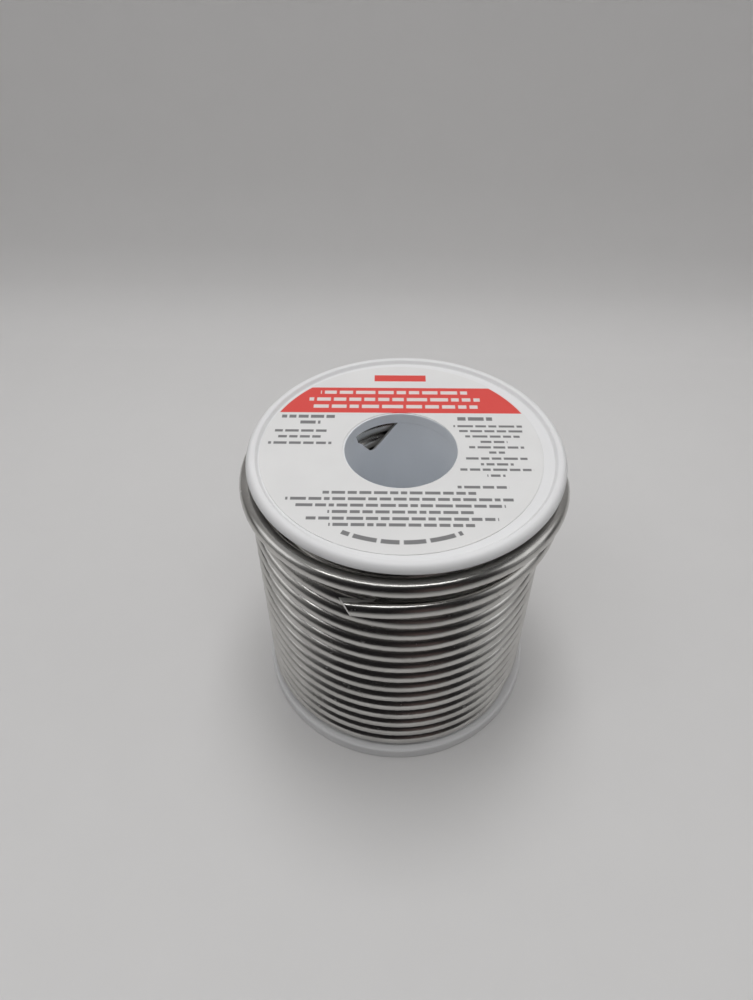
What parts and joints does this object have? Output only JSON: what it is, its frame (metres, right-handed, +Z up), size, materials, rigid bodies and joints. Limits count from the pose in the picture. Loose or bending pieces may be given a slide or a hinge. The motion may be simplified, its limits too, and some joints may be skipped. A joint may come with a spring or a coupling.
{
  "type": "solder wire spool",
  "caption": "Plastic spool with two flanges and a hollow hub, wound full with thick bright solder wire whose loose end bulges out under the upper flange.",
  "frame": {"origin": "in the plane that the lower rim stands on, under the centre of the upper rim; the bore's axis and the lower flange's centre lie 0.8 mm towards -X", "axes": "+Z is up along the bore, out of the labelled upper flange; -Y is the side where the wire's cut end lies"},
  "size_m": [0.055, 0.0554, 0.056],
  "materials": {
    "spool_plastic": "white moulded polystyrene, satin to glossy",
    "label_paper": null,
    "solder_wire": "bright drawn tin alloy, lightly scuffed"
  },
  "bodies": {
    "root": {"lower_flange": "spool_plastic", "upper_flange": "spool_plastic", "hub_barrel": "spool_plastic", "bottom_label": "label_paper", "top_label": "label_paper", "wire_core": "solder_wire", "wire_outer_layer": "solder_wire"}
  },
  "joints": []
}
